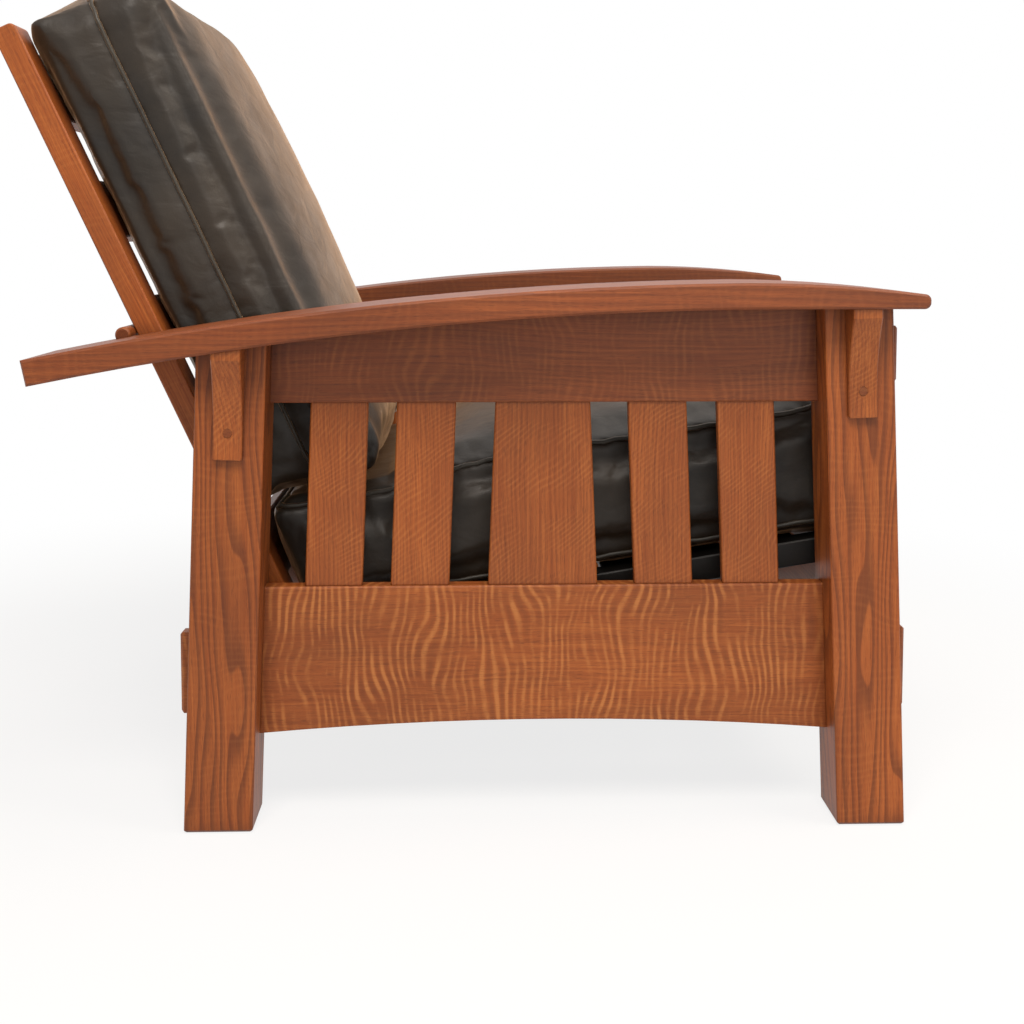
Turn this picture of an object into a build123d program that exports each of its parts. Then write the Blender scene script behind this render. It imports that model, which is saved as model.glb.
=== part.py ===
"""Mission reclining armchair: a slatted oak frame with bowed arms, a reclining back and leather cushions.

Millimetres, +Z up, the front faces -Y. The sitter's right is -X. The origin is the middle of the chair's
box, on the floor. Side views are drawn as (forward, up), where forward is measured from a line a little
behind the middle of the seat.
"""

from build123d import *
import math
import os

# Frame
CHAIR_WIDTH = 864
ARM_WIDTH = 136.5
ARM_OVERHANG = 42
POST_THICK = 75
POST_WIDTH = 76.7
FRONT_FOOT = 553.3
REAR_FOOT = -260.2
FOOT_CHAMFER = 3
EASE = 1.5
FIT = 0.15
OVERRUN = 400

# The posts lean in over their height by this share of it
LEAN_SHARE = 0.041

# Arms
ARM_REAR = -410
ARM_FRONT = 558
ARM_UNDER = 588
ARM_THICK = 28.6
BOW_START = 400
BOW_RADIUS = 4090
NOSE_LONG = 198
NOSE_RADIUS = 1508
NOSE_ROUND = 7
ARM_EASE = 2.5
POST_TENON_DEEP = 14
POST_TENON_LONG = 42
POST_TENON_WIDE = 42

# Side rails and their through tenons
RAIL_SETBACK = 40
RAIL_THICK = 22
TENON_THICK = 17
TENON_PROUD = 16
TENON_BEVEL = 3
LOWER_RAIL_TOP = 269
LOWER_RAIL_END = 99.5
LOWER_RAIL_ARCH = 13.3
LOWER_TENON_LOW = 123
LOWER_TENON_HIGH = 217
UPPER_RAIL_DOWN = 108.7
UPPER_TENON_DOWN = 87
UPPER_TENON_GAP = 23
BLIND_TENON_GAP = 61
BLIND_TENON_DEEP = 45

# Side slats: middles at mid height, widths, and how far each leans with the nearer post
SLAT_PLACES = [-90.5, 7.8, 143.9, 278.4, 379.2]
SLAT_WIDTHS = [65, 66.7, 116.7, 66.7, 65]
SLAT_LEAN_SIGN_SHARES = [1, 1, 0, -1, -1]
SLAT_THICK = 14
SLAT_TENON = 10
SLAT_SHOULDER = 3
SLAT_MID_HEIGHT = 370

# Corbels
CORBEL_WIDE = 32
CORBEL_TALL = 122
CORBEL_TOP_OUT = 37
CORBEL_TOE_OUT = 8
CORBEL_TOP_FLAT = 10
CORBEL_SAG = 9
PLUG_RADIUS = 5
PLUG_DEEP = 6
PLUG_PROUD = 0.6
PLUG_UP = 30

# Cross rails
CROSS_RAIL_THICK = 22
CROSS_TENON = 10
CROSS_TENON_INSET = 14
FRONT_RAIL_BACK = 26
FRONT_RAIL_LOW = 118
FRONT_RAIL_ARCH = 22
REAR_RAIL_TOP = 214
REAR_RAIL_LOW = 112
REAR_RAIL_BACK = 22
BEARER_THICK = 26
BEARER_TALL = 58
BEARER_TENON_TALL = 34

# Seat frame, in its own tilted plane
SEAT_SLOPE = 9.2
SEAT_UNDER = 233.05
SEAT_FRONT = 545
SEAT_FRAME_REAR = -124
SEAT_FRAME_INSET = 5
SEAT_FRAME_THICK = 30
SEAT_RAIL_WIDE = 48
SEAT_BAR_WIDE = 60
SEAT_REBATE = 16
SEAT_SLAT_THICK = 13
SEAT_SLAT_WIDE = 62
SEAT_SLATS = 6

# Seat cushion
SEAT_CUSHION_ROOM = 18
SEAT_CUSHION_THICK = 162
SEAT_REAR_THICK = 150
SEAT_FLAT_START = 70
SEAT_CROWN = 14
SEAT_DRAW_IN = 6
SEAT_EDGE_ROUND = 17
CUSHION_GAP = 3

# Back frame, in its own upright plane above the pivot
PIVOT_FORWARD = -194.05
PIVOT_UP = 303.6
RECLINE = 24.7
BACK_TRAVEL = 8
STILE_ROOM = 5.5
COLLAR_LEAST = 19.5
STILE_WIDE = 46
STILE_THICK = 28
STILE_BELOW = 92
STILE_TOP = 662
STILE_ROUND = 8
LADDER_LOW = -58
LADDER_PITCH = 151
LADDER_WIDE = 74
LADDER_THICK = 18
LADDER_TENON = 14
LADDER_TENON_THICK = 10
LADDER_SHOULDER = 6
TOP_RAIL_LOW = 546
TOP_RAIL_ENDS = 630
TOP_RAIL_ARCH = 16
BACK_RAILS = 4

# Back cushion
BACK_FOOT_BLEND = 160
TOE_ROOM = 6
BACK_CUSHION_TOP = 667
BACK_CUSHION_FRONT = 169
BACK_CUSHION_INSET = 6
BACK_CROWN = 15
BACK_DRAW_IN = 7
BACK_EDGE_ROUND = 14

# Pivots, bar and notches
PIN_RADIUS = 6
PIN_IN_POST = 30
PIN_IN_STILE = 24
PIN_RELIEF = 2
RUNNING_FIT = 0.06
COLLAR_RADIUS = 15
COLLAR_GAP = 0.5
BAR_RADIUS = 9
BAR_END_EASE = 2
BAR_INTO_ARM = 21
NOTCHES = 3
NOTCH_DEEP = 6
NOTCH_END = 2
BODY_GAP = 0.3

POST_OUT = CHAIR_WIDTH / 2 - ARM_OVERHANG
POST_IN = POST_OUT - POST_THICK
ARM_IN = CHAIR_WIDTH / 2 - ARM_WIDTH
RAIL_OUT = POST_OUT - RAIL_SETBACK
RAIL_IN = RAIL_OUT - RAIL_THICK
RAIL_MID = RAIL_OUT - RAIL_THICK / 2
LEAN = math.degrees(math.atan(LEAN_SHARE))
BOW_CENTRE = ARM_UNDER - BOW_RADIUS
NOSE_START = ARM_FRONT - NOSE_LONG
UPPER_RAIL_LOW = ARM_UNDER - UPPER_RAIL_DOWN
UPPER_TENON_LOW = ARM_UNDER - UPPER_TENON_DOWN
UPPER_TENON_HIGH = ARM_UNDER - UPPER_TENON_GAP
BLIND_TENON_HIGH = ARM_UNDER - BLIND_TENON_GAP
SEAT_CUSHION_HALF = POST_IN - SEAT_CUSHION_ROOM
SEAT_FRAME_HALF = SEAT_CUSHION_HALF - SEAT_FRAME_INSET
STILE_OUT = min(ARM_IN, POST_IN - COLLAR_LEAST) - STILE_ROOM
BACK_CUSHION_HALF = STILE_OUT - BACK_CUSHION_INSET
SIDES = {"right": -1, "left": 1}


def side(forward, up):
    """A point of a side view, drawn on the plane whose first axis is +Y."""
    return (-forward, up)


def front_face(up):
    """How far forward the front posts' front faces are at a height."""
    return FRONT_FOOT - LEAN_SHARE * up


def rear_face(up):
    """How far forward the rear posts' rear faces are at a height."""
    return REAR_FOOT + LEAN_SHARE * up


def front_inner(up):
    return front_face(up) - POST_WIDTH


def rear_inner(up):
    return rear_face(up) + POST_WIDTH


def bow_up(forward, radius):
    """Height of the arm's bowed line of a radius about the bow's centre."""
    back = min(forward - BOW_START, 0)
    return BOW_CENTRE + math.sqrt(radius**2 - back**2)


def bow_point(forward, radius):
    return side(forward, bow_up(forward, radius))


def slab(points, low, high):
    """A side-view outline with straight edges, solid between two places along X."""
    outline = Polyline(*[side(*point) for point in points], close=True)
    face = make_face(outline)
    return extrude(Plane.YZ.offset(low) * face, high - low)


def tilted(shape, forward, up, degrees):
    """Set a shape at a point of the side view, leaned back by some degrees."""
    return Location((0, -forward, up), (-degrees, 0, 0)) * shape


def plank(x_low, x_high, forward_low, forward_high, up_low, up_high):
    """A straight board between six faces."""
    size = (x_high - x_low, forward_high - forward_low, up_high - up_low)
    middle = ((x_low + x_high) / 2, -(forward_low + forward_high) / 2, (up_low + up_high) / 2)
    return Pos(*middle) * Box(*size)


def above_arm_line():
    """Everything over the line of the arms' undersides, to trim what stands under an arm."""
    rear = ARM_REAR - OVERRUN
    front = ARM_FRONT + OVERRUN
    middle = (rear + BOW_START) / 2
    top = ARM_UNDER + OVERRUN
    edges = [
        ThreePointArc(
            bow_point(rear, BOW_RADIUS), bow_point(middle, BOW_RADIUS), bow_point(BOW_START, BOW_RADIUS)
        ),
        Line(side(BOW_START, ARM_UNDER), side(front, ARM_UNDER)),
        Line(side(front, ARM_UNDER), side(front, top)),
        Line(side(front, top), side(rear, top)),
        Line(side(rear, top), bow_point(rear, BOW_RADIUS)),
    ]
    face = make_face(Wire(edges))
    return extrude(Plane.YZ.offset(-CHAIR_WIDTH) * face, 2 * CHAIR_WIDTH)


def post_middle(place, up):
    if place == "front":
        return front_face(up) - POST_WIDTH / 2
    return rear_face(up) + POST_WIDTH / 2


def post_tenon_top(place):
    """Height of the end of the tenon that goes up into the arm."""
    return bow_up(post_middle(place, ARM_UNDER), BOW_RADIUS) + POST_TENON_DEEP


def post_tenon(place, gap):
    """The stub tenon on top of a post, or with a gap the mortise that takes it."""
    middle = post_middle(place, ARM_UNDER)
    half = POST_TENON_WIDE / 2 + gap
    x_mid = (POST_OUT + POST_IN) / 2
    top = post_tenon_top(place) + gap
    return plank(x_mid - half, x_mid + half, middle - half, middle + half, top - POST_TENON_LONG, top)


def through_tenons(low, high, rear_high, gap):
    """Both end tenons of a side rail, as far as they stand out of the posts."""
    middle = (low + high) / 2
    half = TENON_THICK / 2 + gap
    front = front_face(middle) + TENON_PROUD + gap
    if rear_high > 0:
        rear = rear_inner(middle) - BLIND_TENON_DEEP - gap
        top = rear_high
    else:
        rear = rear_face(middle) - TENON_PROUD - gap
        top = high
    front_part = plank(
        RAIL_MID - half, RAIL_MID + half, front_inner(middle) - POST_WIDTH, front, low - gap, high + gap
    )
    rear_part = plank(
        RAIL_MID - half, RAIL_MID + half, rear, rear_inner(middle) + POST_WIDTH, low - gap, top + gap
    )
    return front_part + rear_part


def bevel_ends(tenons):
    """Take the sharp edges off the tenons' outer ends."""
    ends = tenons.faces().sort_by(Axis.Y)
    return chamfer(ends[0].edges() + ends[-1].edges(), TENON_BEVEL)


def mirrored(shape, sign):
    """The shape as drawn at the left, or its mirror at the right."""
    if sign > 0:
        return shape
    return mirror(shape, about=Plane.YZ)


def post(place, sign):
    height = ARM_UNDER + ARM_THICK
    if place == "front":
        points = [
            (front_inner(0), 0), (front_face(0), 0),
            (front_face(height), height), (front_inner(height), height)
        ]
    else:
        points = [
            (rear_face(0), 0), (rear_inner(0), 0), (rear_inner(height), height), (rear_face(height), height)
        ]
    body = slab(points, POST_IN, POST_OUT)
    feet = body.faces().sort_by(Axis.Z)[0]
    body = chamfer(feet.edges(), FOOT_CHAMFER)
    uprights = [edge for edge in body.edges() if edge.length > height / 2]
    body = chamfer(uprights, EASE)
    body = body - above_arm_line()
    body = body + post_tenon(place, 0)
    body = body - through_tenons(LOWER_TENON_LOW, LOWER_TENON_HIGH, 0, FIT)
    body = body - through_tenons(UPPER_TENON_LOW, UPPER_TENON_HIGH, BLIND_TENON_HIGH, FIT)
    body = body - cross_tenons(place, FIT)
    if place == "rear":
        body = body - pin_rod(FIT / 2)
    return mirrored(body, sign)


def slat_face(index, up, edge):
    """Where one edge of a side slat is at a height: -1 is its rear edge, 1 its front edge."""
    rise = up - SLAT_MID_HEIGHT
    lean = SLAT_LEAN_SIGN_SHARES[index] * LEAN_SHARE * rise
    taper = 0
    if SLAT_LEAN_SIGN_SHARES[index] == 0:
        taper = -LEAN_SHARE * rise
    return SLAT_PLACES[index] + lean + edge * (SLAT_WIDTHS[index] / 2 + taper)


def slat_outline(index, low, high, inset):
    return [
        (slat_face(index, low, -1) + inset, low),
        (slat_face(index, low, 1) - inset, low),
        (slat_face(index, high, 1) - inset, high),
        (slat_face(index, high, -1) + inset, high),
    ]


def slat_tenons(index, gap):
    half = SLAT_THICK / 2 - SLAT_SHOULDER + gap
    low = LOWER_RAIL_TOP - SLAT_TENON - gap
    high = UPPER_RAIL_LOW + SLAT_TENON + gap
    lower = slat_outline(index, low, LOWER_RAIL_TOP + SLAT_SHOULDER, SLAT_SHOULDER - gap)
    upper = slat_outline(index, UPPER_RAIL_LOW - SLAT_SHOULDER, high, SLAT_SHOULDER - gap)
    return slab(lower, RAIL_MID - half, RAIL_MID + half) + slab(upper, RAIL_MID - half, RAIL_MID + half)


def side_slat(index, sign):
    outline = slat_outline(index, LOWER_RAIL_TOP, UPPER_RAIL_LOW, 0)
    body = slab(outline, RAIL_MID - SLAT_THICK / 2, RAIL_MID + SLAT_THICK / 2)
    uprights = [edge for edge in body.edges() if edge.length > (UPPER_RAIL_LOW - LOWER_RAIL_TOP) / 2]
    arrises = [edge for edge in uprights if abs(edge.tangent_at(0).Z) > abs(edge.tangent_at(0).Y)]
    body = chamfer(arrises, EASE)
    return mirrored(body + slat_tenons(index, 0), sign)


def long_low_edges(shape, up):
    """The long edges of a rail at a height, to be eased."""
    edges = shape.edges().filter_by(Axis.Y)
    return [edge for edge in edges if abs(edge.center().Z - up) < EASE]


def side_lower_rail(sign):
    arch_mid = (front_inner(0) + rear_inner(0)) / 2
    rear_high = side(rear_inner(LOWER_RAIL_TOP), LOWER_RAIL_TOP)
    front_high = side(front_inner(LOWER_RAIL_TOP), LOWER_RAIL_TOP)
    rear_low = side(rear_inner(LOWER_RAIL_END), LOWER_RAIL_END)
    front_low = side(front_inner(LOWER_RAIL_END), LOWER_RAIL_END)
    edges = [
        Line(rear_high, front_high),
        Line(front_high, front_low),
        ThreePointArc(front_low, side(arch_mid, LOWER_RAIL_END + LOWER_RAIL_ARCH), rear_low),
        Line(rear_low, rear_high),
    ]
    body = extrude(Plane.YZ.offset(RAIL_IN) * make_face(Wire(edges)), RAIL_THICK)
    body = chamfer(long_low_edges(body, LOWER_RAIL_TOP), EASE)
    clear = slab(
        [
            (rear_inner(LOWER_RAIL_TOP), LOWER_RAIL_TOP), (front_inner(LOWER_RAIL_TOP), LOWER_RAIL_TOP),
            (front_inner(0), 0), (rear_inner(0), 0),
        ],
        RAIL_IN - POST_THICK, RAIL_OUT + POST_THICK,
    )
    tenons = bevel_ends(through_tenons(LOWER_TENON_LOW, LOWER_TENON_HIGH, 0, 0)) - clear
    body = body + tenons
    for index in range(len(SLAT_PLACES)):
        body = body - slat_tenons(index, FIT)
    body = body - bearer_tenon(FIT)
    return mirrored(body, sign)


def side_upper_rail(sign):
    height = ARM_UNDER
    points = [
        (rear_inner(UPPER_RAIL_LOW), UPPER_RAIL_LOW), (front_inner(UPPER_RAIL_LOW), UPPER_RAIL_LOW),
        (front_inner(height), height), (rear_inner(height), height),
    ]
    body = slab(points, RAIL_IN, RAIL_OUT)
    body = chamfer(long_low_edges(body, UPPER_RAIL_LOW), EASE)
    clear = slab(points, RAIL_IN - POST_THICK, RAIL_OUT + POST_THICK)
    tenons = through_tenons(UPPER_TENON_LOW, UPPER_TENON_HIGH, BLIND_TENON_HIGH, 0)
    body = body - above_arm_line()
    body = body + (bevel_ends(tenons) - clear)
    for index in range(len(SLAT_PLACES)):
        body = body - slat_tenons(index, FIT)
    return mirrored(body, sign)


def arm(sign):
    top = BOW_RADIUS + ARM_THICK
    nose_centre = bow_up(NOSE_START, top) - NOSE_RADIUS
    nose_end = nose_centre + math.sqrt(NOSE_RADIUS**2 - (ARM_FRONT - NOSE_START) ** 2)
    nose_mid = (ARM_FRONT + NOSE_START) / 2
    nose_mid_up = nose_centre + math.sqrt(NOSE_RADIUS**2 - (nose_mid - NOSE_START) ** 2)
    square = math.asin((BOW_START - ARM_REAR) / BOW_RADIUS)
    rear_top = ARM_REAR - ARM_THICK * math.sin(square)
    middle = (ARM_REAR + BOW_START) / 2
    edges = [
        ThreePointArc(
            bow_point(ARM_REAR, BOW_RADIUS), bow_point(middle, BOW_RADIUS), bow_point(BOW_START, BOW_RADIUS)
        ),
        Line(side(BOW_START, ARM_UNDER), side(ARM_FRONT, ARM_UNDER)),
        Line(side(ARM_FRONT, ARM_UNDER), side(ARM_FRONT, nose_end)),
        ThreePointArc(
            side(ARM_FRONT, nose_end), side(nose_mid, nose_mid_up), bow_point(NOSE_START, top)
        ),
        ThreePointArc(
            bow_point(NOSE_START, top), bow_point((NOSE_START + rear_top) / 2, top), bow_point(rear_top, top)
        ),
        Line(bow_point(rear_top, top), bow_point(ARM_REAR, BOW_RADIUS)),
    ]
    face = make_face(Wire(edges))
    face = fillet(face.vertices().sort_by(Axis.X)[:2], NOSE_ROUND)
    body = extrude(Plane.YZ.offset(ARM_IN) * face, ARM_WIDTH)
    flanks = body.faces().filter_by(Axis.X)
    body = chamfer(flanks.edges(), ARM_EASE)
    for place in ("front", "rear"):
        body = body - post_tenon(place, FIT)
    for step in range(NOTCHES):
        forward, up = bar_place(RECLINE - BACK_TRAVEL * step / (NOTCHES - 1))
        notch = Cylinder(BAR_RADIUS + BODY_GAP, BAR_INTO_ARM + NOTCH_END + EASE, rotation=(0, 90, 0))
        x_mid = ARM_IN + (BAR_INTO_ARM + NOTCH_END - EASE) / 2
        body = body - Pos(x_mid, -forward, up) * notch
    return mirrored(body, sign)


def corbel(place, sign):
    """A bracket under the arm, on the middle of a post's outer face, leaning with the post."""
    toe = POST_OUT + CORBEL_TOE_OUT
    top_out = POST_OUT + CORBEL_TOP_OUT
    start = -CORBEL_TOP_FLAT
    bend = ((toe + top_out) / 2 - CORBEL_SAG, (start - CORBEL_TALL) / 2)
    edges = [
        Line((POST_OUT, CORBEL_TALL), (POST_OUT, -CORBEL_TALL)),
        Line((POST_OUT, -CORBEL_TALL), (toe, -CORBEL_TALL)),
        ThreePointArc((toe, -CORBEL_TALL), bend, (top_out, start)),
        Line((top_out, start), (top_out, CORBEL_TALL)),
        Line((top_out, CORBEL_TALL), (POST_OUT, CORBEL_TALL)),
    ]
    body = extrude(Plane.XZ.offset(-CORBEL_WIDE / 2) * make_face(Wire(edges)), CORBEL_WIDE)
    fronts = body.faces().filter_by(Axis.Y)
    outer = [edge for edge in fronts.edges() if edge.center().X > POST_OUT + EASE]
    body = chamfer(outer, EASE)
    body = body - plug_rod(place, FIT / 2, True)
    body = corbel_seat(place) * body
    return mirrored(body - above_arm_line(), sign)


def corbel_seat(place):
    """The place of a corbel's top middle, and its lean."""
    middle = post_middle(place, ARM_UNDER)
    up = bow_up(middle, BOW_RADIUS)
    lean = LEAN if place == "front" else -LEAN
    return Location((0, -post_middle(place, up), up), (-lean, 0, 0))


def plug_rod(place, gap, open_end):
    """The plug over a corbel's screw, or with a gap the hole that takes it."""
    inner = POST_OUT + CORBEL_TOE_OUT - PLUG_DEEP - gap
    outer = POST_OUT + CORBEL_TOE_OUT + 2 * PLUG_PROUD
    if open_end:
        outer = outer + CORBEL_TOP_OUT
    rod = Cylinder(PLUG_RADIUS + gap, outer - inner, rotation=(0, 90, 0))
    return Pos((inner + outer) / 2, 0, PLUG_UP - CORBEL_TALL) * rod


def cross_tenons(place, gap):
    """The stub tenon of a front or rear cross rail at the left post, or with a gap its mortise."""
    if place == "front":
        low, high, forward = FRONT_RAIL_LOW, front_rail_top() - CROSS_TENON_INSET, front_rail_middle()
    else:
        low, high, forward = REAR_RAIL_LOW, REAR_RAIL_TOP, rear_rail_middle()
    half = CROSS_RAIL_THICK / 2 - SLAT_SHOULDER + gap
    return plank(
        POST_IN - CROSS_TENON, POST_IN + CROSS_TENON + gap, forward - half, forward + half,
        low + CROSS_TENON_INSET - gap, high - CROSS_TENON_INSET + gap,
    )


def front_rail_middle():
    return front_face(ARM_UNDER / 2) - FRONT_RAIL_BACK - CROSS_RAIL_THICK / 2


def rear_rail_middle():
    return rear_face(REAR_RAIL_TOP) + REAR_RAIL_BACK + CROSS_RAIL_THICK / 2


def seat_frame_under(forward):
    """Height of the seat frame's underside at a place."""
    slope = math.radians(SEAT_SLOPE)
    return SEAT_UNDER + forward * math.tan(slope) - SEAT_FRAME_THICK / math.cos(slope)


def front_rail_top():
    return seat_frame_under(front_rail_middle() + CROSS_RAIL_THICK / 2)


def front_rail():
    middle = front_rail_middle()
    rear = middle - CROSS_RAIL_THICK / 2
    front = middle + CROSS_RAIL_THICK / 2
    points = [
        (rear, FRONT_RAIL_LOW), (front, FRONT_RAIL_LOW), (front, seat_frame_under(front)),
        (rear, seat_frame_under(rear)),
    ]
    body = slab(points, -POST_IN, POST_IN)
    crest = (0, FRONT_RAIL_LOW + FRONT_RAIL_ARCH)
    arch = ThreePointArc((-POST_IN, FRONT_RAIL_LOW), crest, (POST_IN, FRONT_RAIL_LOW))
    chord = Line((POST_IN, FRONT_RAIL_LOW), (-POST_IN, FRONT_RAIL_LOW))
    cut = extrude(Plane.XZ * make_face(Wire([arch, chord])), OVERRUN, both=True)
    cut = Pos(0, -middle, 0) * cut
    body = body - Pos(0, OVERRUN, 0) * cut - cut - Pos(0, -OVERRUN, 0) * cut
    left = cross_tenons("front", 0) - plank(0, POST_IN, rear, front, 0, ARM_UNDER)
    return body + left + mirror(left, about=Plane.YZ)


def rear_rail():
    middle = rear_rail_middle()
    rear = middle - CROSS_RAIL_THICK / 2
    front = middle + CROSS_RAIL_THICK / 2
    body = plank(-POST_IN, POST_IN, rear, front, REAR_RAIL_LOW, REAR_RAIL_TOP)
    body = chamfer(body.edges().filter_by(Axis.X), EASE)
    left = cross_tenons("rear", 0) - plank(0, POST_IN, rear, front, 0, ARM_UNDER)
    return body + left + mirror(left, about=Plane.YZ)


def bearer_middle():
    return SEAT_FRAME_REAR + SEAT_BAR_WIDE / 2


def bearer_tenon(gap):
    """The left end tenon of the seat bearer, or with a gap its mortise in the side rail."""
    middle = bearer_middle()
    half = BEARER_THICK / 2 - SLAT_SHOULDER + gap
    top = seat_frame_under(middle) - SLAT_SHOULDER - CROSS_TENON_INSET / 2
    low = top - BEARER_TENON_TALL
    near, far = RAIL_IN - CROSS_TENON, RAIL_IN + CROSS_TENON + gap
    return plank(near, far, middle - half, middle + half, low - gap, top + gap)


def seat_bearer():
    """The cross rail between the side rails that carries the seat frame's rear end."""
    rear = bearer_middle() - BEARER_THICK / 2
    front = bearer_middle() + BEARER_THICK / 2
    low = seat_frame_under(bearer_middle()) - BEARER_TALL
    points = [(rear, low), (front, low), (front, seat_frame_under(front)), (rear, seat_frame_under(rear))]
    body = slab(points, -RAIL_IN, RAIL_IN)
    left = bearer_tenon(0) - plank(0, RAIL_IN, rear, front, 0, ARM_UNDER)
    return body + left + mirror(left, about=Plane.YZ)


def seat_place(shape):
    """Tilt a seat piece, whose own height 0 is the top of the seat frame."""
    return tilted(shape, 0, SEAT_UNDER, SEAT_SLOPE)


def seat_side_rail(sign):
    outer = SEAT_FRAME_HALF
    inner = SEAT_FRAME_HALF - SEAT_RAIL_WIDE
    body = plank(inner, outer, SEAT_FRAME_REAR, SEAT_FRONT - CUSHION_GAP, -SEAT_FRAME_THICK, 0)
    body = chamfer(body.edges().filter_by(Axis.Y), EASE)
    rebate = plank(
        inner - EASE, inner + SEAT_REBATE + FIT, SEAT_FRAME_REAR + SEAT_BAR_WIDE,
        SEAT_FRONT - CUSHION_GAP - SEAT_BAR_WIDE, -SEAT_SLAT_THICK - FIT, EASE,
    )
    body = body - rebate
    for forward in seat_bar_middles():
        body = body - seat_bar_tenon(forward, FIT)
    return seat_place(mirrored(body, sign))


def seat_bar_middles():
    rear = SEAT_FRAME_REAR + SEAT_BAR_WIDE / 2
    front = SEAT_FRONT - CUSHION_GAP - SEAT_BAR_WIDE / 2
    return [rear, front]


def seat_bar_tenon(forward, gap):
    """The left end tenon of a seat frame bar, or with a gap its mortise."""
    inner = SEAT_FRAME_HALF - SEAT_RAIL_WIDE
    half = SEAT_BAR_WIDE / 2 - CROSS_TENON_INSET + gap
    tall = SEAT_FRAME_THICK / 3 + 2 * gap
    middle = -SEAT_FRAME_THICK / 2
    return plank(
        inner - CROSS_TENON, inner + SEAT_RAIL_WIDE / 2 + gap, forward - half, forward + half,
        middle - tall / 2, middle + tall / 2,
    )


def seat_bar(forward):
    inner = SEAT_FRAME_HALF - SEAT_RAIL_WIDE
    half = SEAT_BAR_WIDE / 2
    body = plank(-inner, inner, forward - half, forward + half, -SEAT_FRAME_THICK, 0)
    body = chamfer(body.edges().filter_by(Axis.X), EASE)
    left = seat_bar_tenon(forward, 0) - plank(0, inner, forward - half, forward + half, -SEAT_FRAME_THICK, 0)
    return seat_place(body + left + mirror(left, about=Plane.YZ))


def seat_slats():
    """The loose slats that lie in the seat frame's rebates, evenly spaced."""
    rear, front = seat_bar_middles()
    start = rear + SEAT_BAR_WIDE / 2
    room = front - SEAT_BAR_WIDE / 2 - start
    half = SEAT_FRAME_HALF - SEAT_RAIL_WIDE + SEAT_REBATE
    space = (room - SEAT_SLATS * SEAT_SLAT_WIDE) / (SEAT_SLATS + 1)
    pieces = []
    for index in range(SEAT_SLATS):
        low = start + space + index * (SEAT_SLAT_WIDE + space)
        slat = plank(-half, half, low, low + SEAT_SLAT_WIDE, -SEAT_SLAT_THICK, 0)
        slat = chamfer(slat.edges().filter_by(Axis.X), EASE)
        pieces.append(seat_place(slat))
    return Compound(pieces)


def back_turned(front, up, recline):
    """A point of the back's own plane in the side view, at a recline from upright."""
    angle = math.radians(recline)
    forward = PIVOT_FORWARD + front * math.cos(angle) - up * math.sin(angle)
    return forward, PIVOT_UP + front * math.sin(angle) + up * math.cos(angle)


def back_place(shape):
    """Set a back piece, drawn upright with its pivot at the origin, at the rest recline."""
    return tilted(shape, PIVOT_FORWARD, PIVOT_UP, RECLINE)


def bar_place(recline):
    """The bar's centre when it lies in the notch of a recline, against the back of the stiles."""
    radius = BOW_RADIUS + ARM_THICK + BAR_RADIUS + BODY_GAP - NOTCH_DEEP
    front = -STILE_THICK / 2 - BAR_RADIUS - BODY_GAP
    angle = math.radians(recline)
    start_forward, start_up = back_turned(front, 0, recline)
    from_forward = start_forward - BOW_START
    from_up = start_up - BOW_CENTRE
    along = -from_forward * math.sin(angle) + from_up * math.cos(angle)
    apart = from_forward**2 + from_up**2 - radius**2
    rise = -along + math.sqrt(along**2 - apart)
    return back_turned(front, rise, recline)


def ladder_heights():
    lows = [LADDER_LOW + k * LADDER_PITCH for k in range(BACK_RAILS)]
    return [(low, low + LADDER_WIDE) for low in lows]


def ladder_tenon(low, high, gap):
    """The left tenon of a back rail, or with a gap its mortise in the stile."""
    inner = STILE_OUT - STILE_WIDE
    half = LADDER_TENON_THICK / 2 + gap
    return plank(
        inner - LADDER_SHOULDER, inner + LADDER_TENON + gap, -half, half,
        low + LADDER_SHOULDER - gap, high - LADDER_SHOULDER + gap,
    )


def stile(sign):
    inner = STILE_OUT - STILE_WIDE
    body = plank(inner, STILE_OUT, -STILE_THICK / 2, STILE_THICK / 2, -STILE_BELOW, STILE_TOP)
    ends = body.edges().filter_by(Axis.X)
    body = fillet(ends, STILE_ROUND)
    flanks = body.faces().filter_by(Axis.X)
    body = chamfer(flanks.edges(), EASE)
    for low, high in ladder_heights():
        body = body - ladder_tenon(low, high, FIT)
    body = body - ladder_tenon(TOP_RAIL_LOW, TOP_RAIL_ENDS, FIT)
    hole = Cylinder(PIN_RADIUS + RUNNING_FIT, 2 * (PIN_IN_STILE + PIN_RELIEF), rotation=(0, 90, 0))
    body = body - Pos(STILE_OUT, 0, 0) * hole
    return back_place(mirrored(body, sign))


def ladder_rail(low, high):
    inner = STILE_OUT - STILE_WIDE
    half = LADDER_THICK / 2
    body = plank(-inner, inner, -half, half, low, high)
    body = chamfer(body.edges().filter_by(Axis.X), EASE)
    left = ladder_tenon(low, high, 0) - plank(0, inner, -half, half, low, high)
    return back_place(body + left + mirror(left, about=Plane.YZ))


def top_rail():
    """The crest rail, with an arched top edge."""
    inner = STILE_OUT - STILE_WIDE
    half = LADDER_THICK / 2
    low = TOP_RAIL_LOW
    high = TOP_RAIL_ENDS
    edges = [
        Line((-inner, high), (-inner, low)),
        Line((-inner, low), (inner, low)),
        Line((inner, low), (inner, high)),
        ThreePointArc((inner, high), (0, high + TOP_RAIL_ARCH), (-inner, high)),
    ]
    body = extrude(Plane.XZ.offset(-half) * make_face(Wire(edges)), LADDER_THICK)
    faces = body.faces().filter_by(Axis.Y)
    body = chamfer(faces.edges().filter_by(Axis.Z, reverse=True), EASE)
    left = ladder_tenon(low, high, 0) - plank(0, inner, -half, half, low, high + TOP_RAIL_ARCH)
    return back_place(body + left + mirror(left, about=Plane.YZ))


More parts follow.
